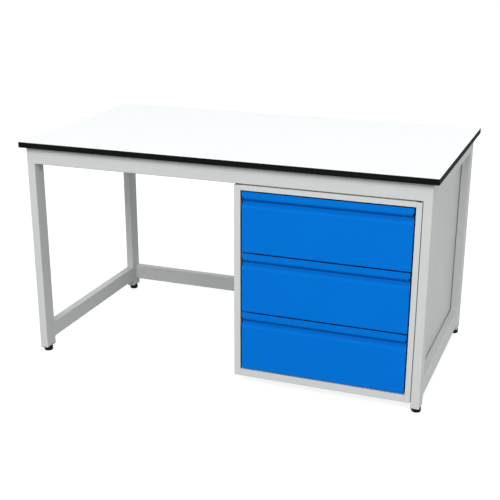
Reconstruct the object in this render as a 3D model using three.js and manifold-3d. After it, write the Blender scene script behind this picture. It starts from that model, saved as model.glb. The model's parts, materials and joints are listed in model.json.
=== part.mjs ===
// Laboratory bench: a welded frame of rectangular steel tube carries a compact-laminate worktop, and a
// sheet-steel pedestal with three drawers on telescopic runners hangs under its right half.
// Millimetres, +Z up, +X to the right, the front towards -Y, the origin on the floor under the middle.
import * as THREE from "three";
import { mergeVertices } from "three/addons/utils/BufferGeometryUtils.js";
import Module from "manifold-3d";

const wasm = await Module();
wasm.setup();

// Worktop
const TOP_WIDTH = 1500;
const TOP_DEPTH = 830;
const BENCH_HEIGHT = 820;
const CORE_THICKNESS = 19;
const SURFACE_THICKNESS = 0.8;
const SURFACE_INSET = 0.8;
const TOP_CORNER_RADIUS = 3;
const TOP_OVERHANG = 20;

// Frame tube, 60 x 30 x 2
const TUBE_WIDE = 60;
const TUBE_NARROW = 30;
const TUBE_WALL = 2;
const TUBE_CORNER = 3;
const LEG_FLOOR_GAP = 22;
const STRETCHER_FLOOR_GAP = 47;
const JOINT_GAP = 0.2;

// Cross tubes that the pedestal hangs from, and their bolts
const HANGER_TUBE = 30;
const HANGER_INSET = 70;
const BOLT_INSET = 120;
const BOLT_DIAMETER = 8;
const BOLT_CLEARANCE = 0.5;
const BOLT_HEAD_DIAMETER = 16;
const BOLT_HEAD_HEIGHT = 4.5;
const BOLT_SPACER_DIAMETER = 18;
const NUT_DIAMETER = 15;
const NUT_HEIGHT = 6.5;
const BOLT_TAIL = 2;

// Levelling feet
const FOOT_DIAMETER = 33;
const FOOT_EDGE_RADIUS = 4;
const FOOT_TOP_DIAMETER = 27;
const FOOT_TAPER_HEIGHT = 4;
const FOOT_FLOOR_THICKNESS = 6;
const STUD_DIAMETER = 10;
const STUD_LENGTH = 60;
const STUD_CHAMFER = 1;
const STUD_CLEARANCE = 0.3;
const PLUG_HEIGHT = 25;
const PLUG_FLANGE = 2;
const PLUG_CLEARANCE = 0.3;

// Pedestal casing
const PEDESTAL_WIDTH = 631;
const PEDESTAL_SIDE_GAP = 2;
const PEDESTAL_TOP_GAP = 4;
const PEDESTAL_REAR_GAP = 10;
const PEDESTAL_FLOOR_GAP = 40;
const SHEET = 1.2;
const LEFT_STILE = 23;
const RIGHT_STILE = 18.5;
const TOP_FRAME = 17;
const BASE_FRAME = 26;
const FRAME_LIP = 20;
const LIP_GAP = 0.6;
const STILE_STEP = 5;
const STILE_STEP_DEPTH = 60;
const STILE_RETURN = 100;
const REAR_RETURN = 70;

// Drawers
const DRAWER_NAMES = ["bottom", "middle", "top"];
const DRAWER_GAP = 5;
const FRONT_DEPTH = 17.8;
const FRONT_BEND = 2;
const FRONT_FLANGE = 40;
const TOP_HEM = 4;
const STRIP_HEIGHT = 24.8;
const STRIP_EDGE_RADIUS = 14;
const GROOVE_DEPTH = 14;
const GROOVE_UPPER_SLOPE = 9;
const GROOVE_LOWER_SLOPE = 16.5;
const GROOVE_ROOT_RADIUS = 7;
const GROOVE_FOOT_RADIUS = 14;
const BOX_RAISE = 12;
const BOX_TOP_SPACE = 42;
const BOX_REAR_SPACE = 30;
const BOX_HEM = 8;
const BOX_HEM_THICKNESS = 3;

// Telescopic runners, each of an outer, a middle and an inner channel
const RUNNER_HEIGHT = 45;
const RUNNER_THICKNESS = 12.7;
const RUNNER_WALL = 1.2;
const RUNNER_CLEARANCE = 0.4;
const RUNNER_RAISE = 35;
const RUNNER_FRONT_SPACE = 2;
const RUNNER_REAR_SPACE = 40;

const CURVE_STEPS = 3;
const ROUND_STEPS = 24;

// Places worked out from the sizes above
const FRAME_WIDTH = TOP_WIDTH - 2 * TOP_OVERHANG;
const FRAME_DEPTH = TOP_DEPTH - 2 * TOP_OVERHANG;
const FRAME_TOP = BENCH_HEIGHT - SURFACE_THICKNESS - CORE_THICKNESS - 2 * JOINT_GAP;
const RAIL_BOTTOM = FRAME_TOP - TUBE_WIDE;
const LEG_X = FRAME_WIDTH / 2 - TUBE_NARROW / 2;
const LEG_Y = FRAME_DEPTH / 2 - TUBE_WIDE / 2;
const CROSS_Y = FRAME_DEPTH / 2 - TUBE_NARROW / 2;
const BETWEEN_LEGS_X = FRAME_WIDTH - 2 * TUBE_NARROW - 2 * JOINT_GAP;
const BETWEEN_LEGS_Y = FRAME_DEPTH - 2 * TUBE_WIDE - 2 * JOINT_GAP;
const BETWEEN_RAILS_Y = FRAME_DEPTH - 2 * TUBE_NARROW - 2 * JOINT_GAP;

const PEDESTAL_RIGHT = FRAME_WIDTH / 2 - TUBE_NARROW - PEDESTAL_SIDE_GAP;
const PEDESTAL_DEPTH = FRAME_DEPTH - TUBE_NARROW - PEDESTAL_REAR_GAP;
const PEDESTAL_HEIGHT = RAIL_BOTTOM - PEDESTAL_TOP_GAP - PEDESTAL_FLOOR_GAP;
const OPENING_WIDTH = PEDESTAL_WIDTH - LEFT_STILE - RIGHT_STILE;
const OPENING_HEIGHT = PEDESTAL_HEIGHT - TOP_FRAME - BASE_FRAME;

const DRAWER_PITCH = (OPENING_HEIGHT - DRAWER_GAP) / DRAWER_NAMES.length;
const FRONT_HEIGHT = DRAWER_PITCH - DRAWER_GAP;
const FRONT_WIDTH = OPENING_WIDTH - 2 * DRAWER_GAP;
const BOX_FRONT = FRONT_DEPTH + JOINT_GAP;
const BOX_SIDE_SPACE = RUNNER_THICKNESS + 2 * JOINT_GAP;
const BOX_WIDTH = OPENING_WIDTH - 2 * BOX_SIDE_SPACE;
const BOX_HEIGHT = FRONT_HEIGHT - BOX_RAISE - BOX_TOP_SPACE;
const CASING_BACK = PEDESTAL_DEPTH - 2 * SHEET - JOINT_GAP;
const BOX_DEPTH = CASING_BACK - BOX_REAR_SPACE - BOX_FRONT;
const RUNNER_START = BOX_FRONT + RUNNER_FRONT_SPACE;
const RUNNER_LENGTH = CASING_BACK - RUNNER_REAR_SPACE - RUNNER_START;
const BOLT_HOLE = BOLT_DIAMETER + 2 * BOLT_CLEARANCE;

// Materials
function paint(color, roughness, metalness) {
  return new THREE.MeshStandardMaterial({ color, roughness, metalness });
}
const LAMINATE_WHITE = paint(0xfafcfc, 0.45, 0);
const PHENOLIC_BLACK = paint(0x161616, 0.55, 0);
const FRAME_GREY = paint(0xcbcfcb, 0.5, 0);
const CASING_GREY = paint(0xcfd1cf, 0.5, 0);
const DRAWER_BLUE = paint(0x0072d5, 0.45, 0);
const BOX_GREY = paint(0xb9bdbb, 0.5, 0);
const ZINC = paint(0xb4b8bc, 0.35, 0.9);
const PLASTIC_BLACK = paint(0x1c1e1e, 0.55, 0);

// Boolean work: closed geometry to a solid and back
function solidOf(geometry) {
  const bare = geometry.clone();
  bare.deleteAttribute("normal");
  bare.deleteAttribute("uv");
  const merged = mergeVertices(bare);
  const vertProperties = merged.attributes.position.array;
  const triVerts = new Uint32Array(merged.index.array);
  return new wasm.Manifold(new wasm.Mesh({ numProp: 3, vertProperties, triVerts }));
}

function geometryOf(solid) {
  const { vertProperties, triVerts } = solid.getMesh();
  const geometry = new THREE.BufferGeometry();
  geometry.setAttribute("position", new THREE.BufferAttribute(vertProperties, 3));
  geometry.setIndex(new THREE.BufferAttribute(triVerts, 1));
  geometry.computeVertexNormals();
  return geometry;
}

function join(...geometries) {
  return geometryOf(geometries.map(solidOf).reduce((whole, piece) => whole.add(piece)));
}

function cut(geometry, ...tools) {
  return geometryOf(tools.map(solidOf).reduce((rest, tool) => rest.subtract(tool), solidOf(geometry)));
}

// Sections and extrusions. Along x the section is drawn in (y, z), along y in (x, z), along z in (x, y).
const X = new THREE.Vector3(1, 0, 0);
const Y = new THREE.Vector3(0, 1, 0);
const Z = new THREE.Vector3(0, 0, 1);

function extrude(section, length, axis) {
  const geometry = new THREE.ExtrudeGeometry(section, {
    depth: length,
    bevelEnabled: false,
    curveSegments: CURVE_STEPS,
  });
  if (axis === "x") geometry.applyMatrix4(new THREE.Matrix4().makeBasis(Y, Z, X));
  if (axis === "y") {
    geometry.applyMatrix4(new THREE.Matrix4().makeBasis(X, Z, Y.clone().negate()));
    geometry.translate(0, length, 0);
  }
  return geometry;
}

function roundedRectangle(outline, width, height, radius) {
  const x = width / 2 - radius;
  const y = height / 2 - radius;
  outline.absarc(x, -y, radius, -Math.PI / 2, 0);
  outline.absarc(x, y, radius, 0, Math.PI / 2);
  outline.absarc(-x, y, radius, Math.PI / 2, Math.PI);
  outline.absarc(-x, -y, radius, Math.PI, 1.5 * Math.PI);
  return outline;
}

function tubeSection(width, height) {
  const section = roundedRectangle(new THREE.Shape(), width, height, TUBE_CORNER);
  const bore = new THREE.Path();
  const boreRadius = Math.max(TUBE_CORNER - TUBE_WALL, TUBE_WALL / 4);
  roundedRectangle(bore, width - 2 * TUBE_WALL, height - 2 * TUBE_WALL, boreRadius);
  section.holes.push(bore);
  return section;
}

function box(width, depth, height) {
  return new THREE.BoxGeometry(width, depth, height).translate(width / 2, depth / 2, height / 2);
}

function cylinder(diameter, bottom, top, sides = ROUND_STEPS) {
  const geometry = new THREE.CylinderGeometry(diameter / 2, diameter / 2, top - bottom, sides);
  return geometry.rotateX(Math.PI / 2).translate(0, 0, (bottom + top) / 2);
}

// A line through corners, each rounded by its own radius
function filletedLine(corners) {
  const line = new THREE.Path();
  const last = corners.length - 1;
  corners.forEach(([x, y, radius = 0], i) => {
    const here = new THREE.Vector2(x, y);
    if (i === 0) line.moveTo(x, y);
    else if (i === last || radius === 0) line.lineTo(x, y);
    else {
      const back = new THREE.Vector2(...corners[i - 1].slice(0, 2)).sub(here).normalize();
      const ahead = new THREE.Vector2(...corners[i + 1].slice(0, 2)).sub(here).normalize();
      const reach = radius / Math.tan(Math.acos(back.dot(ahead)) / 2);
      const start = here.clone().addScaledVector(back, reach);
      const end = here.clone().addScaledVector(ahead, reach);
      line.lineTo(start.x, start.y);
      line.quadraticCurveTo(x, y, end.x, end.y);
    }
  });
  return line.getPoints(CURVE_STEPS);
}

// Section of a bent sheet: the line is one face, and the metal lies to the left of its direction
function sheetSection(corners, thickness) {
  const face = filletedLine(corners);
  const last = face.length - 1;
  const inner = face.map((point, i) => {
    const before = point.clone().sub(face[Math.max(i - 1, 0)]).normalize();
    const after = face[Math.min(i + 1, last)].clone().sub(point).normalize();
    const into = i === 0 ? after : before;
    const out = i === last ? before : after;
    const normal = new THREE.Vector2(-into.y - out.y, into.x + out.x);
    const scale = (2 * thickness) / normal.lengthSq();
    return point.clone().addScaledVector(normal, scale);
  });
  return new THREE.Shape([...face, ...inner.reverse()]);
}

function mesh(name, geometry, material, x = 0, y = 0, z = 0) {
  const made = new THREE.Mesh(geometry, material);
  made.name = name;
  made.position.set(x, y, z);
  return made;
}

// Worktop: a black phenolic core under a white decor sheet, chamfered along the edge
function worktop() {
  const group = new THREE.Group();
  const coreOutline = roundedRectangle(new THREE.Shape(), TOP_WIDTH, TOP_DEPTH, TOP_CORNER_RADIUS);
  const surfaceOutline = roundedRectangle(
    new THREE.Shape(),
    TOP_WIDTH - 2 * SURFACE_INSET,
    TOP_DEPTH - 2 * SURFACE_INSET,
    TOP_CORNER_RADIUS,
  );
  const core = extrude(coreOutline, CORE_THICKNESS, "z");
  const surface = extrude(surfaceOutline, SURFACE_THICKNESS, "z");
  group.add(mesh("worktop_core", core, PHENOLIC_BLACK, 0, 0, FRAME_TOP + JOINT_GAP));
  group.add(mesh("worktop_surface", surface, LAMINATE_WHITE, 0, 0, BENCH_HEIGHT - SURFACE_THICKNESS));
  return group;
}

// Frame: four legs, four top rails and three low stretchers, all of the same tube
function frame() {
  const group = new THREE.Group();
  const section = tubeSection(TUBE_NARROW, TUBE_WIDE);
  const railZ = FRAME_TOP - TUBE_WIDE / 2;
  const stretcherZ = STRETCHER_FLOOR_GAP + TUBE_WIDE / 2;

  for (const [side, sideX] of [["left", -LEG_X], ["right", LEG_X]]) {
    for (const [end, endY] of [["front", -LEG_Y], ["rear", LEG_Y]]) {
      const leg = extrude(section, FRAME_TOP - LEG_FLOOR_GAP, "z");
      group.add(mesh(`leg_${end}_${side}`, leg, FRAME_GREY, sideX, endY, LEG_FLOOR_GAP));
    }
    const rail = extrude(section, BETWEEN_LEGS_Y, "y");
    group.add(mesh(`rail_${side}`, rail, FRAME_GREY, sideX, -BETWEEN_LEGS_Y / 2, railZ));
    const stretcher = extrude(section, BETWEEN_LEGS_Y, "y");
    group.add(mesh(`stretcher_${side}`, stretcher, FRAME_GREY, sideX, -BETWEEN_LEGS_Y / 2, stretcherZ));
  }
  const crossTubes = [
    ["rail_front", -CROSS_Y, railZ],
    ["rail_rear", CROSS_Y, railZ],
    ["stretcher_rear", CROSS_Y, stretcherZ],
  ];
  for (const [name, y, z] of crossTubes) {
    const tube = extrude(section, BETWEEN_LEGS_X, "x");
    group.add(mesh(name, tube, FRAME_GREY, -BETWEEN_LEGS_X / 2, y, z));
  }
  return group;
}

// Levelling foot: a plug in the leg's end, a threaded stud through it and a plastic glide on the stud
function foot(name) {
  const group = new THREE.Group();
  const boreDiameter = STUD_DIAMETER + 2 * STUD_CLEARANCE;
  const plugWidth = TUBE_NARROW - 2 * TUBE_WALL - 2 * PLUG_CLEARANCE;
  const plugDepth = TUBE_WIDE - 2 * TUBE_WALL - 2 * PLUG_CLEARANCE;
  const flangeBottom = LEG_FLOOR_GAP - JOINT_GAP - PLUG_FLANGE;
  const flange = extrude(
    roundedRectangle(new THREE.Shape(), TUBE_NARROW, TUBE_WIDE, TUBE_CORNER),
    PLUG_FLANGE,
    "z",
  );
  const body = extrude(
    roundedRectangle(new THREE.Shape(), plugWidth, plugDepth, TUBE_WALL),
    PLUG_FLANGE + PLUG_HEIGHT,
    "z",
  );
  const bore = cylinder(boreDiameter, -PLUG_FLANGE, 2 * PLUG_FLANGE + PLUG_HEIGHT);
  const plug = cut(join(flange, body), bore);
  group.add(mesh(`leg_plug_${name}`, plug, PLASTIC_BLACK, 0, 0, flangeBottom));

  const glideTop = flangeBottom - JOINT_GAP;
  const radius = FOOT_DIAMETER / 2;
  const socketRadius = boreDiameter / 2;
  const outline = new THREE.Path();
  outline.moveTo(0, 0);
  outline.lineTo(radius - FOOT_EDGE_RADIUS, 0);
  outline.absarc(radius - FOOT_EDGE_RADIUS, FOOT_EDGE_RADIUS, FOOT_EDGE_RADIUS, -Math.PI / 2, 0);
  outline.lineTo(radius, glideTop - FOOT_TAPER_HEIGHT);
  outline.lineTo(FOOT_TOP_DIAMETER / 2, glideTop);
  outline.lineTo(socketRadius, glideTop);
  outline.lineTo(socketRadius, FOOT_FLOOR_THICKNESS);
  outline.lineTo(0, FOOT_FLOOR_THICKNESS);
  const glide = new THREE.LatheGeometry(outline.getPoints(CURVE_STEPS), ROUND_STEPS);
  group.add(mesh(`foot_glide_${name}`, glide.rotateX(Math.PI / 2), PLASTIC_BLACK));

  const studRadius = STUD_DIAMETER / 2;
  const studOutline = [
    [0, 0],
    [studRadius, 0],
    [studRadius, STUD_LENGTH - STUD_CHAMFER],
    [studRadius - STUD_CHAMFER, STUD_LENGTH],
    [0, STUD_LENGTH],
  ].map(([r, z]) => new THREE.Vector2(r, z));
  const stud = new THREE.LatheGeometry(studOutline, ROUND_STEPS).rotateX(Math.PI / 2);
  group.add(mesh(`foot_stud_${name}`, stud, ZINC, 0, 0, FOOT_FLOOR_THICKNESS + JOINT_GAP));
  return group;
}

function feet() {
  const group = new THREE.Group();
  for (const [side, x] of [["left", -LEG_X], ["right", LEG_X]]) {
    for (const [end, y] of [["front", -LEG_Y], ["rear", LEG_Y]]) {
      const one = foot(`${end}_${side}`);
      one.position.set(x, y, 0);
      group.add(one);
    }
  }
  return group;
}

// Pedestal casing, in a frame with its origin at the casing's lower front left corner.
// The sides are channels folded from one sheet, and the top and base are channels between them.
// Each stile ends in a hemmed lip. Its return steps back behind the lip, then out to carry the runners.
function casing() {
  const group = new THREE.Group();
  const lip = 2 * SHEET + LIP_GAP;
  const sideLine = (stile) => [
    [stile, PEDESTAL_DEPTH - REAR_RETURN],
    [stile, PEDESTAL_DEPTH],
    [0, PEDESTAL_DEPTH],
    [0, 0],
    [stile, 0],
    [stile, lip],
    [stile - STILE_STEP, lip],
    [stile - STILE_STEP, STILE_STEP_DEPTH],
    [stile, STILE_STEP_DEPTH],
    [stile, STILE_RETURN],
  ];
  const leftSide = extrude(sheetSection(sideLine(LEFT_STILE), SHEET), PEDESTAL_HEIGHT, "z");
  group.add(mesh("casing_left_side", leftSide, CASING_GREY));
  const rightLine = sideLine(RIGHT_STILE).map(([x, y]) => [PEDESTAL_WIDTH - x, y]).reverse();
  const rightSide = extrude(sheetSection(rightLine, SHEET), PEDESTAL_HEIGHT, "z");
  group.add(mesh("casing_right_side", rightSide, CASING_GREY));

  const panelWidth = OPENING_WIDTH - 2 * JOINT_GAP;
  const panelX = LEFT_STILE + JOINT_GAP;
  const baseLine = [
    [FRAME_LIP, BASE_FRAME],
    [0, BASE_FRAME],
    [0, 0],
    [PEDESTAL_DEPTH, 0],
    [PEDESTAL_DEPTH, BASE_FRAME],
  ];
  const base = extrude(sheetSection(baseLine, SHEET), panelWidth, "x");
  group.add(mesh("casing_base", base, CASING_GREY, panelX));
  const topLine = [
    [PEDESTAL_DEPTH, -TOP_FRAME],
    [PEDESTAL_DEPTH, 0],
    [0, 0],
    [0, -TOP_FRAME],
    [FRAME_LIP, -TOP_FRAME],
  ];
  const holes = hangerPlaces().map(([x, y]) =>
    cylinder(BOLT_HOLE, -2 * SHEET, SHEET).translate(x - panelX, y, 0),
  );
  const top = cut(extrude(sheetSection(topLine, SHEET), panelWidth, "x"), ...holes);
  group.add(mesh("casing_top", top, CASING_GREY, panelX, 0, PEDESTAL_HEIGHT));

  const backZ = SHEET + JOINT_GAP;
  const back = box(panelWidth, SHEET, PEDESTAL_HEIGHT - 2 * backZ);
  group.add(mesh("casing_back", back, CASING_GREY, panelX, CASING_BACK, backZ));
  return group;
}

// Bolt places on the casing's top, in the pedestal's frame
function hangerPlaces() {
  const columns = [HANGER_INSET, PEDESTAL_WIDTH - HANGER_INSET];
  const rows = [BOLT_INSET, PEDESTAL_DEPTH - BOLT_INSET];
  return columns.flatMap((x) => rows.map((y) => [x, y]));
}

// Cross tubes welded between the front and rear rails, and the bolts that hang the casing from them
function hangers() {
  const group = new THREE.Group();
  const hangerBottom = PEDESTAL_HEIGHT + PEDESTAL_TOP_GAP;
  const hangerTop = hangerBottom + HANGER_TUBE;
  const hangerStart = TUBE_NARROW + JOINT_GAP;
  const section = tubeSection(HANGER_TUBE, HANGER_TUBE);
  const places = hangerPlaces();
  for (const [side, x] of [["left", HANGER_INSET], ["right", PEDESTAL_WIDTH - HANGER_INSET]]) {
    const holes = places
      .filter(([boltX]) => boltX === x)
      .map(([, y]) => cylinder(BOLT_HOLE, -HANGER_TUBE, HANGER_TUBE).translate(0, y - hangerStart, 0));
    const tube = cut(extrude(section, BETWEEN_RAILS_Y, "y"), ...holes);
    const z = hangerBottom + HANGER_TUBE / 2;
    group.add(mesh(`hanger_tube_${side}`, tube, FRAME_GREY, x, hangerStart, z));
  }
  const names = ["front_left", "rear_left", "front_right", "rear_right"];
  places.forEach(([x, y], i) => {
    const headTop = PEDESTAL_HEIGHT - SHEET - JOINT_GAP;
    const nutBottom = hangerTop + JOINT_GAP;
    const bolt = join(
      cylinder(BOLT_HEAD_DIAMETER, headTop - BOLT_HEAD_HEIGHT, headTop, 6),
      cylinder(BOLT_DIAMETER, headTop - BOLT_HEAD_HEIGHT / 2, nutBottom + NUT_HEIGHT + BOLT_TAIL),
      cylinder(BOLT_SPACER_DIAMETER, PEDESTAL_HEIGHT + JOINT_GAP, hangerBottom - JOINT_GAP),
      cylinder(NUT_DIAMETER, nutBottom, nutBottom + NUT_HEIGHT, 6),
    );
    group.add(mesh(`hanger_bolt_${names[i]}`, bolt, ZINC, x, y));
  });
  return group;
}

// Runner channels in section: x from the casing towards the drawer, z about the runner's middle
function runnerSections(side) {
  const channel = (inset, web, end) => {
    const half = RUNNER_HEIGHT / 2 - inset;
    const line = [
      [end, half],
      [web, half],
      [web, -half],
      [end, -half],
    ];
    const placed = line.map(([x, z]) => [side * x, z]);
    return sheetSection(web < end === side > 0 ? placed : placed.reverse(), RUNNER_WALL);
  };
  const step = RUNNER_WALL + RUNNER_CLEARANCE;
  return {
    outer: channel(0, 0, RUNNER_THICKNESS - 2 * step),
    middle: channel(step, step, RUNNER_THICKNESS - step),
    inner: channel(2 * step, RUNNER_THICKNESS, 2 * step),
  };
}

// One drawer: a pressed front with a full-width finger recess, a tray behind it and a runner on each side
function drawer(name) {
  const group = new THREE.Group();
  group.add(mesh(`drawer_front_${name}`, drawerFront(), DRAWER_BLUE, DRAWER_GAP, 0, 0));
  group.add(mesh(`drawer_box_${name}`, drawerBox(), BOX_GREY, BOX_SIDE_SPACE, BOX_FRONT, BOX_RAISE));
  const runnerZ = BOX_RAISE + RUNNER_RAISE + RUNNER_HEIGHT / 2;
  const sides = [
    ["left", 1, JOINT_GAP],
    ["right", -1, OPENING_WIDTH - JOINT_GAP],
  ];
  for (const [sideName, direction, x] of sides) {
    for (const [member, section] of Object.entries(runnerSections(direction))) {
      const channel = extrude(section, RUNNER_LENGTH, "y");
      const nodeName = `runner_${member}_${name}_${sideName}`;
      group.add(mesh(nodeName, channel, ZINC, x, RUNNER_START, runnerZ));
    }
  }
  return group;
}

// Front, bent from one sheet. Its section, as depth and height: top hem, pull strip, groove for the
// fingers, face, base return and the flange that is fixed to the tray. The groove runs out at both ends.
function drawerFront() {
  const stripBottom = FRONT_HEIGHT - STRIP_HEIGHT;
  const grooveRoot = stripBottom - GROOVE_UPPER_SLOPE;
  const grooveFoot = grooveRoot - GROOVE_LOWER_SLOPE;
  const line = [
    [TOP_HEM, FRONT_HEIGHT],
    [0, FRONT_HEIGHT, FRONT_BEND],
    [0, stripBottom, STRIP_EDGE_RADIUS],
    [GROOVE_DEPTH, grooveRoot, GROOVE_ROOT_RADIUS],
    [0, grooveFoot, GROOVE_FOOT_RADIUS],
    [0, 0, FRONT_BEND],
    [FRONT_DEPTH, 0],
    [FRONT_DEPTH, FRONT_FLANGE],
  ];
  const skin = extrude(sheetSection(line, SHEET), FRONT_WIDTH, "x");
  const returnHeight = grooveFoot - GROOVE_FOOT_RADIUS;
  const sideReturn = box(SHEET, FRONT_DEPTH - SHEET, returnHeight).translate(0, SHEET / 2, SHEET / 2);
  return join(skin, sideReturn, sideReturn.clone().translate(FRONT_WIDTH - SHEET, 0, 0));
}

// Tray: folded floor and walls, with the side walls hemmed inwards along the rim
function drawerBox() {
  const hemZ = BOX_HEIGHT - BOX_HEM;
  const cavityLine = [
    [SHEET, SHEET],
    [BOX_WIDTH - SHEET, SHEET],
    [BOX_WIDTH - SHEET, hemZ],
    [BOX_WIDTH - BOX_HEM_THICKNESS, hemZ],
    [BOX_WIDTH - BOX_HEM_THICKNESS, BOX_HEIGHT + SHEET],
    [BOX_HEM_THICKNESS, BOX_HEIGHT + SHEET],
    [BOX_HEM_THICKNESS, hemZ],
    [SHEET, hemZ],
  ];
  const cavitySection = new THREE.Shape(cavityLine.map(([x, z]) => new THREE.Vector2(x, z)));
  const cavity = extrude(cavitySection, BOX_DEPTH - 2 * SHEET, "y").translate(0, SHEET, 0);
  return cut(box(BOX_WIDTH, BOX_DEPTH, BOX_HEIGHT), cavity);
}

function pedestal() {
  const group = new THREE.Group();
  group.add(casing(), hangers());
  DRAWER_NAMES.forEach((name, i) => {
    const one = drawer(name);
    one.position.set(LEFT_STILE, 0, BASE_FRAME + DRAWER_GAP + i * DRAWER_PITCH);
    group.add(one);
  });
  group.position.set(PEDESTAL_RIGHT - PEDESTAL_WIDTH, -FRAME_DEPTH / 2, PEDESTAL_FLOOR_GAP);
  return group;
}

const bench = new THREE.Group();
bench.add(worktop(), frame(), feet(), pedestal());
export default bench;
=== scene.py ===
"""Dresses the laboratory bench: finishes, pressed drawer fronts, welds, fasteners, light and camera.

Metres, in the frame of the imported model: +X to the right, the front towards -Y, +Z up.
"""
import json
import math

import bmesh
import bpy
from mathutils import Matrix, Vector


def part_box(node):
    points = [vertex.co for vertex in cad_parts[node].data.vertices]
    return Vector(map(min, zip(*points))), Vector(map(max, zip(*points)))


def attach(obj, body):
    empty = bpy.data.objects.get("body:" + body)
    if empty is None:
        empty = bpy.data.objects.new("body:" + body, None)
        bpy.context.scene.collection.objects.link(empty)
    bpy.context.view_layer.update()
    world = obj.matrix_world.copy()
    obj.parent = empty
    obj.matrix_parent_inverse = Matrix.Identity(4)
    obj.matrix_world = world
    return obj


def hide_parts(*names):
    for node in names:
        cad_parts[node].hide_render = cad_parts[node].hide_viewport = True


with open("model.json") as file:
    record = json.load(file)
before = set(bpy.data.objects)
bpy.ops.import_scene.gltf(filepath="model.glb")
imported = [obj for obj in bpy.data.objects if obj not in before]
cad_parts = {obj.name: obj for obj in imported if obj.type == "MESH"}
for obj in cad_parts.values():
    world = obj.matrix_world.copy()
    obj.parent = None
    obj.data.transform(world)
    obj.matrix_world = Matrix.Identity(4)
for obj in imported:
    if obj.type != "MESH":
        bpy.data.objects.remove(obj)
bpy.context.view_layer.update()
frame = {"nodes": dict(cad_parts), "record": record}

NODES = frame["nodes"]
MM = 0.001
TINY = 0.001 * MM
LEVELS = ("top", "middle", "bottom")
SIDES = ("left", "right")
CORNERS = ("front_left", "front_right", "rear_left", "rear_right")

# Camera, solved from the straight edges in the photograph. Pixels are those of a 500 x 500 image.
IMAGE_SIZE = 500
FOCAL_PIXELS = 1009.6
CENTRE_PIXEL = (236.14, 284.79)
CAMERA_PLACE = (1.26066, -3.43104, 1.59137)
CAMERA_AZIMUTH = math.radians(21.338)
CAMERA_ELEVATION = math.radians(20.374)
CAMERA_ROLL = math.radians(-0.136)
SENSOR_WIDTH = 36.0

# Light: an even surround, and large soft lamps as (name, azimuth, elevation, level).
# Azimuth 0 is in front of the bench and 90 is at its right.
AMBIENT = 0.50
AMBIENT_TINT = (0.93, 1.0, 1.0, 1.0)
LAMPS = (
    ("front_lamp", 0, 37, 0.57),
    ("side_lamp", 45, 28, 0.27),
    ("rear_lamp", 180, 25, 0.30),
)
LAMP_TINT = (1.0, 0.98, 0.97)
LAMP_DISTANCE = 12.0
LAMP_SIZE = 6.0
LAMP_TARGET = (0.0, 0.0, 0.5)

# Floor: the shade and glow that the camera sees, and the bounce that lights the bench from below
FLOOR_SIZE = 60.0
FLOOR_SHADE = 0.35
FLOOR_GLOW = 0.83
FLOOR_BOUNCE = 0.28

# Drawer fronts, as their section runs from the top down
SHEET = 1.2 * MM
BEND_RADIUS = 1.4 * MM
TOP_HEM = 4.0 * MM
STRIP_HEIGHT = 24.8 * MM
STRIP_EDGE_RADIUS = 14.0 * MM
GROOVE_DEPTH = 14.0 * MM
GROOVE_UPPER_SLOPE = 9.0 * MM
GROOVE_LOWER_SLOPE = 16.5 * MM
GROOVE_ROOT_RADIUS = 7.0 * MM
GROOVE_FOOT_RADIUS = 14.0 * MM
FRONT_FLANGE = 40.0 * MM
SIDE_RETURN = 16.0 * MM
BEND_RELIEF = 1.5 * MM
ARC_STEPS = 10
# The ends of the strip and groove are cut back, as (mm below the front's top, mm in from its end)
END_CUT = ((17.0, 0.0), (18.2, 6.5), (34.0, 1.4), (42.0, 1.4), (48.0, 0.0))
# Columns of faces across a front: a margin as wide as the bend, the face, and the other margin
ALL_COLUMNS = (0, 1, 2)
FACE_COLUMN = (1,)

# Welds
TUBE_CORNER = 3.0 * MM
WELD_STEP = 0.8 * MM
WELD_RIPPLE = 0.22 * MM
WELD_RIPPLE_LENGTH = 3.2 * MM
# A neighbour that stands out from the tube's face by more than this makes a corner for a fillet
FLUSH_LIMIT = 2.0 * MM
# Sections of a bead, as (mm into the tube, mm out from its face), from root to root over the crown:
# a fillet in a corner, and a groove that is filled and ground flush
FILLET = ((-0.2, -0.5), (-0.2, 3.5), (1.5, 1.5), (3.5, 0.0), (3.5, -0.3))
FLUSH = ((-0.2, -3.0), (-3.8, -0.02), (-1.4, 0.04), (1.0, -0.02), (1.0, -0.3))
CROWN_POINT = 2

# Fasteners. Shares are places along a length, from 0 at its low end to 1.
HEAD_SIDES = 24
DOME_STEPS = 6
SCREW_HEAD_RADIUS = 4.5 * MM
SCREW_HEAD_HEIGHT = 2.6 * MM
SCREW_SOCKET_RADIUS = 1.5 * MM
SCREW_SOCKET_DEPTH = 1.6 * MM
RIVET_RADIUS = 4.0 * MM
RIVET_HEIGHT = 1.5 * MM
RIVET_INSET = 9.0 * MM
RIVET_SHARES = (0.06, 0.28, 0.5, 0.72, 0.94)
FRONT_SCREW_HEIGHT = 15.0 * MM
FRONT_SCREW_SHARES = (0.1, 0.37, 0.63, 0.9)
RUNNER_SCREW_SHARES = (0.08, 0.5, 0.92)
# Screws up into the worktop, as (rail, number of the axis along it, shares)
WORKTOP_SCREWS = (
    ("rail_front", 0, (0.08, 0.42)),
    ("rail_rear", 0, (0.08, 0.42)),
    ("rail_left", 1, (0.25, 0.75)),
    ("rail_right", 1, (0.25, 0.75)),
)

# Levelling feet
ROUND_STEPS = 48
THREAD_PITCH = 1.5 * MM
THREAD_DEPTH = 0.9 * MM
THREAD_ROWS_PER_TURN = 6
THREAD_SIDES = 24
GLIDE_EDGE_RADIUS = 4.0 * MM
GLIDE_TOP_RADIUS = 13.5 * MM
GLIDE_TAPER = 4.0 * MM
GLIDE_SHOULDER_RADIUS = 1.5 * MM
GLIDE_RIM_RADIUS = 1.0 * MM
GLIDE_BORE_GAP = 0.2 * MM

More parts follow.
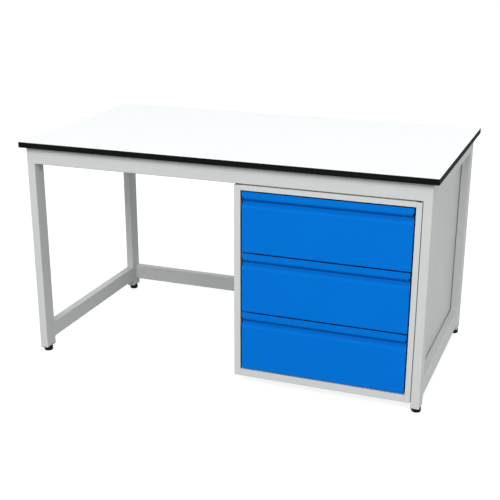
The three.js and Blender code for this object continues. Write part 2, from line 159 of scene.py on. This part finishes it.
# Finishes, as linear colour
FRAME_COLOUR = (0.615, 0.632, 0.618)
CASING_COLOUR = (0.625, 0.642, 0.632)
TRAY_COLOUR = (0.540, 0.560, 0.550)
BLUE_COLOUR = (0.000, 0.168, 0.665)
WHITE_COLOUR = (0.930, 0.945, 0.950)
ZINC_COLOUR = (0.520, 0.532, 0.545)
BLACK_EDGE_COLOUR = (0.0085, 0.0085, 0.0088)
BLACK_PLASTIC_COLOUR = (0.0060, 0.0066, 0.0068)
# Where along the noise the darkest and lightest shades lie
SHADE_STOPS = (0.3, 0.7)
PAINT_GLOSS_SPREAD = 0.06
# Painted shade: ambient occlusion darkens the blue paint in its folds and finger groove, out to this
# reach, with this many samples
PAINTED_SHADE_REACH = 50.0 * MM
PAINTED_SHADE_SAMPLES = 16
# Upward part of the normal, where the worktop's face turns from its black core to white decor
CORE_FACING = 0.75
DECOR_FACING = 0.9

# Edges of the CAD nodes
EDGE_RADIUS = 0.4 * MM
EDGE_SEGMENTS = 2
SMOOTH_LIMIT = math.radians(40)
FLAT_LIMIT = math.radians(0.5)


# Material building

def node(tree, kind, settings=None, **inputs):
    """Adds a node; each input is a value or the output socket that feeds it."""
    made = tree.nodes.new(kind)
    for name, value in (settings or {}).items():
        setattr(made, name, value)
    for name, value in inputs.items():
        socket = made.inputs[name.replace("_", " ")]
        if isinstance(value, bpy.types.NodeSocket):
            tree.links.new(value, socket)
        else:
            socket.default_value = value
    return made


def new_material(name, roughness, metallic=0.0, specular=0.5):
    made = bpy.data.materials.new(name)
    made.use_nodes = True
    shader = made.node_tree.nodes["Principled BSDF"]
    shader.inputs["Roughness"].default_value = roughness
    shader.inputs["Metallic"].default_value = metallic
    shader.inputs["Specular IOR Level"].default_value = specular
    return made, made.node_tree, shader


def noise(tree, scale, detail=2.0, stretch=(1.0, 1.0, 1.0)):
    """Noise in the object's own metres, so that it doesn't slide when a drawer moves."""
    place = node(tree, "ShaderNodeTexCoord").outputs["Object"]
    mapped = node(tree, "ShaderNodeMapping", Vector=place, Scale=stretch).outputs["Vector"]
    return node(tree, "ShaderNodeTexNoise", Vector=mapped, Scale=scale, Detail=detail).outputs["Fac"]


def shades(tree, factor, colour, spread):
    """The colour, a little darker and lighter from place to place."""
    ramp = node(tree, "ShaderNodeValToRGB", Fac=factor)
    levels = (1 - spread, 1 + spread)
    for stop, place, level in zip(ramp.color_ramp.elements, SHADE_STOPS, levels):
        stop.position = place
        stop.color = [min(part * level, 1.0) for part in colour] + [1.0]
    return ramp.outputs["Color"]


def gloss(tree, shader, factor, low, high):
    """Roughness that changes from place to place between two values."""
    mapped = node(tree, "ShaderNodeMapRange", Value=factor, To_Min=low, To_Max=high)
    tree.links.new(mapped.outputs["Result"], shader.inputs["Roughness"])


def bump(tree, shader, height, strength, distance):
    raised = node(tree, "ShaderNodeBump", Height=height, Strength=strength, Distance=distance)
    tree.links.new(raised.outputs["Normal"], shader.inputs["Normal"])


def powder_coat(name, colour, roughness=0.5, specular=0.35, peel=0.12, fold=0.0):
    """Baked powder paint: even in colour, with a fine orange peel; given a fold reach, painted shade
    darkens its folds and recesses out to that reach.
    """
    made, tree, shader = new_material(name, roughness, specular=specular)
    paint = shades(tree, noise(tree, scale=7.0, detail=4.0), colour, spread=0.012)
    # Painted shade: ambient occlusion darkens the paint colour in folds and recesses
    if fold:
        settings = {"only_local": True, "samples": PAINTED_SHADE_SAMPLES}
        painted_shade = node(tree, "ShaderNodeAmbientOcclusion", settings, Color=paint, Distance=fold)
        paint = painted_shade.outputs["Color"]
    tree.links.new(paint, shader.inputs["Base Color"])
    low = roughness - PAINT_GLOSS_SPREAD
    high = roughness + PAINT_GLOSS_SPREAD
    gloss(tree, shader, noise(tree, scale=60.0, detail=3.0), low, high)
    bump(tree, shader, noise(tree, scale=650.0, detail=3.0), strength=peel, distance=0.3 * MM)
    return made


def laminate():
    """White decor sheet with a fine pearled surface, over a core that shows at its cut edge."""
    made, tree, shader = new_material("laminate_white_finish", roughness=0.42, specular=0.4)
    decor = shades(tree, noise(tree, scale=3.0, detail=5.0), WHITE_COLOUR, spread=0.006)
    facing = node(tree, "ShaderNodeNewGeometry").outputs["Normal"]
    upward = node(tree, "ShaderNodeSeparateXYZ", Vector=facing).outputs["Z"]
    edge = node(
        tree,
        "ShaderNodeMapRange",
        Value=upward,
        From_Min=CORE_FACING,
        From_Max=DECOR_FACING,
    )
    colour = node(tree, "ShaderNodeMix", {"data_type": "RGBA"})
    tree.links.new(edge.outputs["Result"], colour.inputs["Factor"])
    colour.inputs["A"].default_value = (*BLACK_EDGE_COLOUR, 1.0)
    tree.links.new(decor, colour.inputs["B"])
    tree.links.new(colour.outputs["Result"], shader.inputs["Base Color"])
    gloss(tree, shader, noise(tree, scale=25.0, detail=4.0), low=0.36, high=0.48)
    bump(tree, shader, noise(tree, scale=1400.0), strength=0.08, distance=0.15 * MM)
    return made


def phenolic():
    """Machined black core: pressed paper layers show as fine lines along the edge."""
    made, tree, shader = new_material("phenolic_black_finish", roughness=0.6, specular=0.01)
    layers = noise(tree, scale=1.0, detail=4.0, stretch=(6.0, 6.0, 1800.0))
    tree.links.new(shades(tree, layers, BLACK_EDGE_COLOUR, spread=0.35), shader.inputs["Base Color"])
    gloss(tree, shader, noise(tree, scale=40.0, detail=3.0), low=0.48, high=0.64)
    bump(tree, shader, layers, strength=0.10, distance=0.1 * MM)
    return made


def zinc():
    """Bright zinc plate, drawn lengthwise, clouded by the plating bath."""
    made, tree, shader = new_material("zinc_steel_finish", roughness=0.34, metallic=1.0)
    clouds = noise(tree, scale=45.0, detail=5.0)
    tree.links.new(shades(tree, clouds, ZINC_COLOUR, spread=0.09), shader.inputs["Base Color"])
    drawn = noise(tree, scale=900.0, stretch=(1.0, 0.03, 1.0))
    gloss(tree, shader, drawn, low=0.26, high=0.44)
    bump(tree, shader, drawn, strength=0.08, distance=0.05 * MM)
    return made


def plastic():
    """Moulded black polyamide with a spark-eroded grain."""
    made, tree, shader = new_material("plastic_black_finish", roughness=0.55, specular=0.12)
    clouds = noise(tree, scale=90.0, detail=3.0)
    tree.links.new(shades(tree, clouds, BLACK_PLASTIC_COLOUR, spread=0.2), shader.inputs["Base Color"])
    grain = noise(tree, scale=1100.0, detail=3.0)
    gloss(tree, shader, grain, low=0.48, high=0.66)
    bump(tree, shader, grain, strength=0.2, distance=0.1 * MM)
    return made


# The blue paint, with painted shade darkening its folds and finger groove
BLUE_PAINT_AND_SHADE = {"roughness": 0.48, "specular": 0.06, "peel": 0.16, "fold": PAINTED_SHADE_REACH}
FINISHES = {
    "laminate_white": laminate(),
    "phenolic_black": phenolic(),
    "frame_grey": powder_coat("frame_grey_finish", FRAME_COLOUR),
    "casing_grey": powder_coat("casing_grey_finish", CASING_COLOUR),
    "drawer_blue": powder_coat("drawer_blue_painted_shade_finish", BLUE_COLOUR, **BLUE_PAINT_AND_SHADE),
    "tray_grey": powder_coat("tray_grey_finish", TRAY_COLOUR),
    "zinc_steel": zinc(),
    "plastic_black": plastic(),
}


# CAD nodes that stay: each gets its finish, and modifiers that soften its edges and smooth its bends

def smooth_by_angle():
    """Modifier group that shades bends smooth and keeps corners sharp."""
    group = bpy.data.node_groups.new("smooth_by_angle", "GeometryNodeTree")
    group.interface.new_socket("Geometry", in_out="INPUT", socket_type="NodeSocketGeometry")
    group.interface.new_socket("Geometry", in_out="OUTPUT", socket_type="NodeSocketGeometry")
    start = node(group, "NodeGroupInput").outputs["Geometry"]
    bare = node(group, "GeometryNodeRemoveAttribute", Geometry=start, Name="custom_normal")
    faces = node(
        group,
        "GeometryNodeSetShadeSmooth",
        {"domain": "FACE"},
        Geometry=bare.outputs["Geometry"],
    )
    angle = node(group, "GeometryNodeInputMeshEdgeAngle").outputs["Unsigned Angle"]
    sharp = node(group, "FunctionNodeCompare", {"operation": "GREATER_THAN"}, A=angle, B=SMOOTH_LIMIT)
    edges = node(
        group,
        "GeometryNodeSetShadeSmooth",
        {"domain": "EDGE"},
        Geometry=faces.outputs["Geometry"],
        Selection=sharp.outputs["Result"],
        Shade_Smooth=False,
    )
    node(group, "NodeGroupOutput", Geometry=edges.outputs["Geometry"])
    return group


SMOOTHING = smooth_by_angle()


def shade(item):
    item.modifiers.new("smooth_bends", "NODES").node_group = SMOOTHING
    weighted = item.modifiers.new("flat_faces", "WEIGHTED_NORMAL")
    weighted.keep_sharp = True


def soften(item):
    edges = item.modifiers.new("soft_edges", "BEVEL")
    edges.width = EDGE_RADIUS
    edges.segments = EDGE_SEGMENTS
    edges.limit_method = "ANGLE"
    edges.angle_limit = SMOOTH_LIMIT


def dress_nodes():
    slots = {part["node"]: part["material_slot"] for part in frame["record"]["subparts"]}
    for name, item in NODES.items():
        item.material_slots[0].material = FINISHES[slots[name]]
        joined = item.modifiers.new("joined_faces", "WELD")
        joined.merge_threshold = TINY
        flat = item.modifiers.new("whole_faces", "DECIMATE")
        flat.decimate_type = "DISSOLVE"
        flat.angle_limit = FLAT_LIMIT
        soften(item)
        shade(item)


# New pieces

def between(low, high, share):
    return low + (high - low) * share


def piece(name, shape, body, slot, replaced=()):
    """Makes an object of a finished bmesh, attached to its body, with the finish that its slot names."""
    data = bpy.data.meshes.new(name)
    shape.to_mesh(data)
    shape.free()
    made = bpy.data.objects.new(name, data)
    bpy.context.scene.collection.objects.link(made)
    data.materials.append(FINISHES[slot])
    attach(made, body)
    if replaced:
        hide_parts(*replaced)
    return made


def closed_piece(name, shape, body, slot, replaced=()):
    """A piece without a rim, with its faces turned outward and its bends shaded smooth."""
    bmesh.ops.recalc_face_normals(shape, faces=shape.faces)
    shade(piece(name, shape, body, slot, replaced))


def rounded_line(corners):
    """A plane line through corners (u, v, radius), each rounded by an arc."""
    points = []
    for i, (u, v, radius) in enumerate(corners):
        here = Vector((u, v, 0.0))
        if radius == 0.0:
            points.append(here)
            continue
        back = (Vector((*corners[i - 1][:2], 0.0)) - here).normalized()
        ahead = (Vector((*corners[i + 1][:2], 0.0)) - here).normalized()
        half = back.angle(ahead) / 2
        centre = here + (back + ahead).normalized() * radius / math.sin(half)
        reach = radius / math.tan(half)
        first = here + back * reach - centre
        last = here + ahead * reach - centre
        first.normalize()
        last.normalize()
        for step in range(ARC_STEPS + 1):
            points.append(centre + first.slerp(last, step / ARC_STEPS) * radius)
    return [(point.x, point.y) for point in points]


def bridge(shape, rings):
    """Faces between neighbouring closed rings; a ring of one vertex is a pole."""
    for low, high in zip(rings, rings[1:]):
        count = max(len(low), len(high))
        for step in range(count):
            after = (step + 1) % count
            if len(low) == 1:
                corners = (low[0], high[after], high[step])
            elif len(high) == 1:
                corners = (low[step], low[after], high[0])
            else:
                corners = (low[step], low[after], high[after], high[step])
            shape.faces.new(corners)


def lathe(shape, profile, centre, axis=(0.0, 0.0, 1.0), sides=ROUND_STEPS):
    """Turns (radius, height) points round an axis. The first and last points lie on it."""
    turn = Vector((0.0, 0.0, 1.0)).rotation_difference(Vector(axis)).to_matrix()
    spot = Vector(centre)
    rings = []
    for radius, height in profile:
        count = sides if radius > 0.0 else 1
        ring = []
        for step in range(count):
            angle = 2 * math.pi * step / sides
            point = Vector((radius * math.cos(angle), radius * math.sin(angle), height))
            ring.append(shape.verts.new(spot + turn @ point))
        rings.append(ring)
    bridge(shape, rings)


# Drawer fronts: one pressed sheet with folded returns, open at the ends of the finger groove

def front_section(height, depth):
    """Outer line of the sheet as (depth, height), from the top hem down and round to the flange."""
    strip_bottom = height - STRIP_HEIGHT
    root = strip_bottom - GROOVE_UPPER_SLOPE
    foot = root - GROOVE_LOWER_SLOPE
    return rounded_line([
        (TOP_HEM, height, 0.0),
        (0.0, height, BEND_RADIUS),
        (0.0, strip_bottom, STRIP_EDGE_RADIUS),
        (GROOVE_DEPTH, root, GROOVE_ROOT_RADIUS),
        (0.0, foot, GROOVE_FOOT_RADIUS),
        (0.0, 0.0, BEND_RADIUS),
        (depth, 0.0, BEND_RADIUS),
        (depth, FRONT_FLANGE, 0.0),
    ])


def cut_back(drop):
    """How far the end of the front is cut back at a distance below its top."""
    for (above, first), (below, last) in zip(END_CUT, END_CUT[1:]):
        if above <= drop / MM <= below:
            return between(first, last, (drop / MM - above) / (below - above)) * MM
    return 0.0


def side_return(shape, edge, inward, front, heights):
    """Fold at one end of a front: back from its bend, between an upper and a lower height."""
    fold = [(edge, front + SIDE_RETURN)]
    for step in range(ARC_STEPS + 1):
        angle = math.pi / 2 * (1 - step / ARC_STEPS)
        x = edge + inward * BEND_RADIUS * (1 - math.sin(angle))
        fold.append((x, front + BEND_RADIUS * (1 - math.cos(angle))))
    upper, lower = [[shape.verts.new((x, y, z)) for x, y in fold] for z in heights]
    for j in range(len(fold) - 1):
        corners = (upper[j], lower[j], lower[j + 1], upper[j + 1])
        shape.faces.new(corners if inward > 0 else corners[::-1])


def drawer_front(level):
    node_name = f"drawer_front_{level}"
    low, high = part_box(node_name)
    height = high.z - low.z
    section = front_section(height, high.y - low.y)
    face_rows = [v for u, v in section if u < TINY and v < height - STRIP_HEIGHT]
    fold_top = max(face_rows) - BEND_RELIEF
    fold_bottom = min(face_rows) + BEND_RELIEF
    fold_row = next(i for i, (u, v) in enumerate(section) if v <= fold_top)
    section[fold_row:fold_row] = [(0.0, fold_top), (0.0, fold_bottom)]

    shape = bmesh.new()
    rows = []
    for u, v in section:
        cut = cut_back(height - v)
        left = low.x + cut
        right = high.x - cut
        across = (left, left + BEND_RADIUS, right - BEND_RADIUS, right)
        rows.append([shape.verts.new((x, low.y + u, low.z + v)) for x in across])
    for i, (upper, lower) in enumerate(zip(rows, rows[1:])):
        columns = FACE_COLUMN if i == fold_row else ALL_COLUMNS
        for j in columns:
            shape.faces.new((upper[j], lower[j], lower[j + 1], upper[j + 1]))
    for edge, inward in ((low.x, 1), (high.x, -1)):
        side_return(shape, edge, inward, low.y, (low.z + fold_top, low.z + fold_bottom))
    bmesh.ops.remove_doubles(shape, verts=shape.verts, dist=TINY)
    made = piece(f"pressed_front_{level}", shape, f"drawer_{level}", "drawer_blue", [node_name])
    wall = made.modifiers.new("sheet", "SOLIDIFY")
    wall.thickness = SHEET
    wall.offset = -1.0
    wall.use_even_offset = True
    shade(made)


# Welds: a bead round each tube's end, ground flush where the tube's face runs into its neighbour's

def rounded_ring(width, height, radius, step):
    """Points round a rounded rectangle, each with its outward direction."""
    ring = []
    for quarter in range(4):
        angle = quarter * math.pi / 2
        out = Vector((math.cos(angle), math.sin(angle)))
        along = Vector((-out.y, out.x))
        reach, run = (width, height) if quarter % 2 == 0 else (height, width)
        half = run / 2 - radius
        count = max(round(2 * half / step), 1)
        for k in range(count):
            ring.append((out * reach / 2 + along * half * (2 * k / count - 1), out))
        centre = out * (reach / 2 - radius) + along * half
        for k in range(ARC_STEPS):
            turn = angle + math.pi / 2 * k / ARC_STEPS
            normal = Vector((math.cos(turn), math.sin(turn)))
            ring.append((centre + normal * radius, normal))
    return ring


def weld(tube, end, neighbour, name):
    """A bead round one end of a tube: end is -1 for its low end and 1 for its high end."""
    low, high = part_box(tube)
    other_low, other_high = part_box(neighbour)
    axis = max(range(3), key=lambda i: high[i] - low[i])
    across, up = [i for i in range(3) if i != axis]
    middle = (low + high) / 2
    stop = high[axis] if end > 0 else low[axis]
    open_sides = {}
    for side in (across, up):
        open_sides[side, 1] = other_high[side] > high[side] + FLUSH_LIMIT
        open_sides[side, -1] = other_low[side] < low[side] - FLUSH_LIMIT
    shape = bmesh.new()
    rings = []
    outline = rounded_ring(high[across] - low[across], high[up] - low[up], TUBE_CORNER, WELD_STEP)
    for i, (spot, out) in enumerate(outline):
        parts = ((across, out.x), (up, out.y))
        free = sum(part**2 for side, part in parts if open_sides[side, 1 if part > 0 else -1])
        ripple = free * WELD_RIPPLE * math.sin(2 * math.pi * i * WELD_STEP / WELD_RIPPLE_LENGTH)
        loop = []
        for k, (fillet, flush) in enumerate(zip(FILLET, FLUSH)):
            rise = ripple if k == CROWN_POINT else 0.0
            inward = between(flush[0], fillet[0], free) * MM + rise
            outward = between(flush[1], fillet[1], free) * MM + rise
            place = Vector((0.0, 0.0, 0.0))
            place[axis] = stop - end * inward
            place[across] = middle[across] + spot.x + out.x * outward
            place[up] = middle[up] + spot.y + out.y * outward
            loop.append(shape.verts.new(place))
        rings.append(loop)
    bridge(shape, rings + rings[:1])
    closed_piece(name, shape, "bench", "frame_grey")


def weld_frame():
    for tube, row in (("rail_front", "front"), ("rail_rear", "rear"), ("stretcher_rear", "rear")):
        for side, end in zip(SIDES, (-1, 1)):
            weld(tube, end, f"leg_{row}_{side}", f"weld_{tube}_{side}")
    for side in SIDES:
        for row, end in (("front", -1), ("rear", 1)):
            for tube in (f"rail_{side}", f"stretcher_{side}"):
                weld(tube, end, f"leg_{row}_{side}", f"weld_{tube}_{row}")
            tube = f"hanger_tube_{side}"
            weld(tube, end, f"rail_{row}", f"weld_{tube}_{row}")


# Fasteners

def dome(radius, height):
    """Quarter of an ellipse from near the crown's middle to its rim, as (radius, height)."""
    turns = [math.pi / 2 * k / DOME_STEPS for k in range(1, DOME_STEPS + 1)]
    return [(radius * math.sin(turn), height * math.cos(turn)) for turn in turns]


def screw_head(shape, centre, axis):
    """Button head with a driver socket."""
    whole = dome(SCREW_HEAD_RADIUS, SCREW_HEAD_HEIGHT)
    crown = [spot for spot in whole if spot[0] > SCREW_SOCKET_RADIUS]
    floor = SCREW_HEAD_HEIGHT - SCREW_SOCKET_DEPTH
    socket = [(0.0, floor), (SCREW_SOCKET_RADIUS, floor), (SCREW_SOCKET_RADIUS, crown[0][1])]
    lathe(shape, socket + crown + [(0.0, 0.0)], centre, axis, HEAD_SIDES)


def rivet_head(shape, centre, axis):
    profile = [(0.0, RIVET_HEIGHT)] + dome(RIVET_RADIUS, RIVET_HEIGHT) + [(0.0, 0.0)]
    lathe(shape, profile, centre, axis, HEAD_SIDES)


def fasteners(name, maker, places, body):
    """One piece holding a group of like heads, each at (centre, axis)."""
    shape = bmesh.new()
    for centre, axis in places:
        maker(shape, centre, axis)
    closed_piece(name, shape, body, "zinc_steel")


def drawer_screws(level):
    low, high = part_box(f"drawer_box_{level}")
    front = [
        ((between(low.x, high.x, share), low.y + SHEET, low.z + FRONT_SCREW_HEIGHT), (0, 1, 0))
        for share in FRONT_SCREW_SHARES
    ]
    fasteners(f"front_screws_{level}", screw_head, front, f"drawer_{level}")
    runner_low, runner_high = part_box(f"runner_inner_{level}_left")
    middle = (runner_low.z + runner_high.z) / 2
    walls = [
        ((x, between(low.y, high.y, share), middle), (way, 0, 0))
        for x, way in ((low.x + SHEET, 1), (high.x - SHEET, -1))
        for share in RUNNER_SCREW_SHARES
    ]
    fasteners(f"runner_screws_{level}", screw_head, walls, f"drawer_{level}")


def casing_rivets():
    low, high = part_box("casing_base")
    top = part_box("casing_top")[1].z
    rows = (low.z + RIVET_INSET, top - RIVET_INSET)
    places = [
        ((between(low.x, high.x, share), high.y, z), (0, 1, 0)) for z in rows for share in RIVET_SHARES
    ]
    fasteners("back_rivets", rivet_head, places, "bench")


def worktop_screws():
    places = []
    for rail, axis, shares in WORKTOP_SCREWS:
        low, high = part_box(rail)
        for share in shares:
            spot = (low + high) / 2
            spot[axis] = between(low[axis], high[axis], share)
            spot.z = low.z
            places.append((spot, (0, 0, -1)))
    fasteners("worktop_screws", screw_head, places, "bench")


# Levelling feet

def threaded_stud(corner):
    node_name = f"foot_stud_{corner}"
    low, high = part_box(node_name)
    middle = (low + high) / 2
    radius = (high.x - low.x) / 2
    count = round((high.z - low.z) / THREAD_PITCH * THREAD_ROWS_PER_TURN)
    shape = bmesh.new()
    rings = [[shape.verts.new((middle.x, middle.y, low.z))]]
    for row in range(count + 1):
        z = between(low.z, high.z, row / count)
        ring = []
        for side in range(THREAD_SIDES):
            phase = (z / THREAD_PITCH - side / THREAD_SIDES) % 1.0
            depth = THREAD_DEPTH * abs(2 * phase - 1)
            taper = max(0.0, THREAD_DEPTH - (high.z - z))
            reach = radius - max(depth, taper)
            angle = 2 * math.pi * side / THREAD_SIDES
            x = middle.x + reach * math.cos(angle)
            y = middle.y + reach * math.sin(angle)
            ring.append(shape.verts.new((x, y, z)))
        rings.append(ring)
    rings.append([shape.verts.new((middle.x, middle.y, high.z))])
    bridge(shape, rings)
    closed_piece(f"threaded_stud_{corner}", shape, f"foot_{corner}", "zinc_steel", [node_name])


def moulded_glide(corner):
    node_name = f"foot_glide_{corner}"
    low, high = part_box(node_name)
    middle = (low + high) / 2
    radius = (high.x - low.x) / 2
    height = high.z - low.z
    stud_low, stud_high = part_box(f"foot_stud_{corner}")
    bore = (stud_high.x - stud_low.x) / 2 + GLIDE_BORE_GAP
    bore_floor = stud_low.z - low.z - GLIDE_BORE_GAP
    outline = rounded_line([
        (0.0, 0.0, 0.0),
        (radius, 0.0, GLIDE_EDGE_RADIUS),
        (radius, height - GLIDE_TAPER, GLIDE_SHOULDER_RADIUS),
        (GLIDE_TOP_RADIUS, height, GLIDE_RIM_RADIUS),
        (bore, height, 0.0),
        (bore, bore_floor, 0.0),
        (0.0, bore_floor, 0.0),
    ])
    shape = bmesh.new()
    lathe(shape, outline, (middle.x, middle.y, low.z))
    closed_piece(f"moulded_glide_{corner}", shape, f"foot_{corner}", "plastic_black", [node_name])


# Floor, light and camera

def seen_directly(tree):
    """1 for what the camera sees, itself or in a reflection or through glass."""
    path = node(tree, "ShaderNodeLightPath")
    highest = path.outputs["Is Camera Ray"]
    for name in ("Is Glossy Ray", "Is Transmission Ray"):
        pair = node(tree, "ShaderNodeMath", {"operation": "MAXIMUM"})
        tree.links.new(highest, pair.inputs[0])
        tree.links.new(path.outputs[name], pair.inputs[1])
        highest = pair.outputs["Value"]
    return highest


def lit_and_seen(tree, lighting, seen):
    """One shader for the light that reaches the bench, and another for what the camera sees."""
    choice = node(tree, "ShaderNodeMixShader", Fac=seen_directly(tree))
    tree.links.new(lighting, choice.inputs[1])
    tree.links.new(seen, choice.inputs[2])
    return choice.outputs["Shader"]


def floor_finish():
    """Matt bounce for the bench's light, and to the eye white with the bench's soft shadow."""
    made = bpy.data.materials.new("floor_finish")
    made.use_nodes = True
    tree = made.node_tree
    tree.nodes.clear()
    shaded = node(tree, "ShaderNodeBsdfDiffuse", Color=(FLOOR_SHADE, FLOOR_SHADE, FLOOR_SHADE, 1.0))
    glow = node(tree, "ShaderNodeEmission", Strength=FLOOR_GLOW)
    seen = node(tree, "ShaderNodeAddShader")
    tree.links.new(shaded.outputs["BSDF"], seen.inputs[0])
    tree.links.new(glow.outputs["Emission"], seen.inputs[1])
    matt = node(tree, "ShaderNodeBsdfDiffuse", Color=(FLOOR_BOUNCE, FLOOR_BOUNCE, FLOOR_BOUNCE, 1.0))
    surface = lit_and_seen(tree, matt.outputs["BSDF"], seen.outputs["Shader"])
    node(tree, "ShaderNodeOutputMaterial", Surface=surface)
    return made


def stage_floor():
    shape = bmesh.new()
    half = FLOOR_SIZE / 2
    corners = [(-half, -half, 0.0), (half, -half, 0.0), (half, half, 0.0), (-half, half, 0.0)]
    shape.faces.new([shape.verts.new(corner) for corner in corners])
    data = bpy.data.meshes.new("floor")
    shape.to_mesh(data)
    shape.free()
    floor = bpy.data.objects.new("floor", data)
    bpy.context.scene.collection.objects.link(floor)
    data.materials.append(floor_finish())


def light_surround():
    """Even light from all round, which the camera sees as white."""
    world = bpy.data.worlds.new("studio")
    bpy.context.scene.world = world
    world.use_nodes = True
    tree = world.node_tree
    tree.nodes.clear()
    even = node(tree, "ShaderNodeBackground", Color=AMBIENT_TINT, Strength=AMBIENT)
    white = node(tree, "ShaderNodeBackground", Color=(1.0, 1.0, 1.0, 1.0), Strength=1.0)
    surface = lit_and_seen(tree, even.outputs["Background"], white.outputs["Background"])
    node(tree, "ShaderNodeOutputWorld", Surface=surface)


def light_lamps():
    for name, azimuth, elevation, level in LAMPS:
        across = math.cos(math.radians(elevation))
        direction = Vector((
            math.sin(math.radians(azimuth)) * across,
            -math.cos(math.radians(azimuth)) * across,
            math.sin(math.radians(elevation)),
        ))
        lamp = bpy.data.lights.new(name, "AREA")
        lamp.size = LAMP_SIZE
        lamp.color = LAMP_TINT
        # The power that makes a matt white surface, turned to the lamp, about as bright as the level
        lamp.energy = level * (math.pi * LAMP_DISTANCE) ** 2
        placed = bpy.data.objects.new(name, lamp)
        placed.location = Vector(LAMP_TARGET) + direction * LAMP_DISTANCE
        placed.rotation_euler = direction.to_track_quat("Z", "Y").to_euler()
        placed.visible_glossy = False
        bpy.context.scene.collection.objects.link(placed)


def set_camera():
    lens = bpy.data.cameras.new("photo_camera")
    lens.sensor_width = SENSOR_WIDTH
    lens.lens = SENSOR_WIDTH * FOCAL_PIXELS / IMAGE_SIZE
    lens.shift_x = (IMAGE_SIZE / 2 - CENTRE_PIXEL[0]) / IMAGE_SIZE
    lens.shift_y = (CENTRE_PIXEL[1] - IMAGE_SIZE / 2) / IMAGE_SIZE
    camera = bpy.data.objects.new("photo_camera", lens)
    heading = Matrix.Rotation(CAMERA_AZIMUTH, 4, "Z")
    tilt = Matrix.Rotation(math.pi / 2 - CAMERA_ELEVATION, 4, "X")
    roll = Matrix.Rotation(CAMERA_ROLL, 4, "Z")
    camera.matrix_world = Matrix.Translation(CAMERA_PLACE) @ heading @ tilt @ roll
    bpy.context.scene.collection.objects.link(camera)
    bpy.context.scene.camera = camera


set_camera()
light_surround()
light_lamps()
stage_floor()
dress_nodes()
weld_frame()
casing_rivets()
worktop_screws()
for drawer_level in LEVELS:
    drawer_front(drawer_level)
    drawer_screws(drawer_level)
for foot_corner in CORNERS:
    threaded_stud(foot_corner)
    moulded_glide(foot_corner)
bpy.context.scene.view_settings.view_transform = "Standard"
